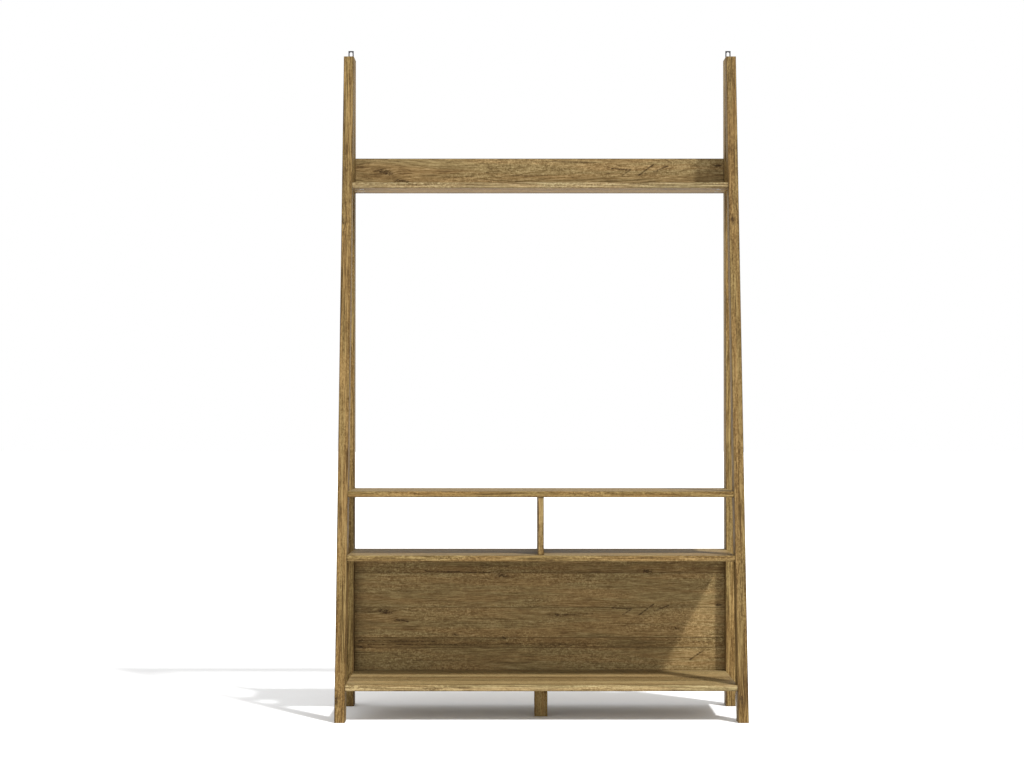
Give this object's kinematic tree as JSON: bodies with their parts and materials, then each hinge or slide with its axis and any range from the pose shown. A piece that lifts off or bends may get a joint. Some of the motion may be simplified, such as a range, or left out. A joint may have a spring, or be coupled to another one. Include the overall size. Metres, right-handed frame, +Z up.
{
  "type": "ladder shelf",
  "caption": "Wide oak-effect ladder shelf with upright rear legs, leaning front legs, a television bay, media bays and a backed lower compartment.",
  "frame": {"origin": "on the floor, at the centre of the whole object's width and depth", "axes": "+X to the right seen from the front, +Y towards the wall, +Z up"},
  "size_m": [1.11, 0.36, 1.8695],
  "materials": {
    "oak_leg": "oak-effect foil, matt, with upright grain",
    "oak_board": "oak-effect foil, matt, with grain along the board and matching edging",
    "oak_upstand": "oak-effect foil, matt, with grain along the board and dark knots",
    "oak_panel": "oak-effect foil, matt, printed as joined planks with knots and cracks",
    "bracket_steel": "dark grey satin coating",
    "cam_zinc": "bare zinc die casting",
    "screw_steel": "bright zinc plating",
    "beech_dowel": "plain fluted beech"
  },
  "bodies": {
    "root": {"left_front_leg": "oak_leg", "right_front_leg": "oak_leg", "left_rear_leg": "oak_leg", "right_rear_leg": "oak_leg", "top_shelf": "oak_board", "top_shelf_upstand": "oak_upstand", "tv_shelf": "oak_board", "divider": "oak_board", "middle_shelf": "oak_board", "back_panel": "oak_panel", "bottom_shelf": "oak_board", "centre_foot": "oak_leg", "left_wall_bracket": "bracket_steel", "right_wall_bracket": "bracket_steel", "bracket_screws": "screw_steel", "top_shelf_cam_bolts": "screw_steel", "top_shelf_cam_locks": "cam_zinc", "top_shelf_dowels": "beech_dowel", "tv_shelf_cam_bolts": "screw_steel", "tv_shelf_cam_locks": "cam_zinc", "tv_shelf_dowels": "beech_dowel", "middle_shelf_cam_bolts": "screw_steel", "middle_shelf_cam_locks": "cam_zinc", "middle_shelf_dowels": "beech_dowel", "bottom_shelf_cam_bolts": "screw_steel", "bottom_shelf_cam_locks": "cam_zinc", "bottom_shelf_dowels": "beech_dowel", "upstand_cam_bolts": "screw_steel", "upstand_cam_locks": "cam_zinc", "upstand_dowels": "beech_dowel", "back_panel_cam_bolts": "screw_steel", "back_panel_cam_locks": "cam_zinc", "back_panel_dowels": "beech_dowel", "divider_screws": "screw_steel", "divider_dowels": "beech_dowel", "apex_screws": "screw_steel", "apex_dowels": "beech_dowel", "foot_hanger_bolt": "screw_steel", "foot_insert": "screw_steel", "foot_dowel": "beech_dowel"}
  },
  "joints": []
}
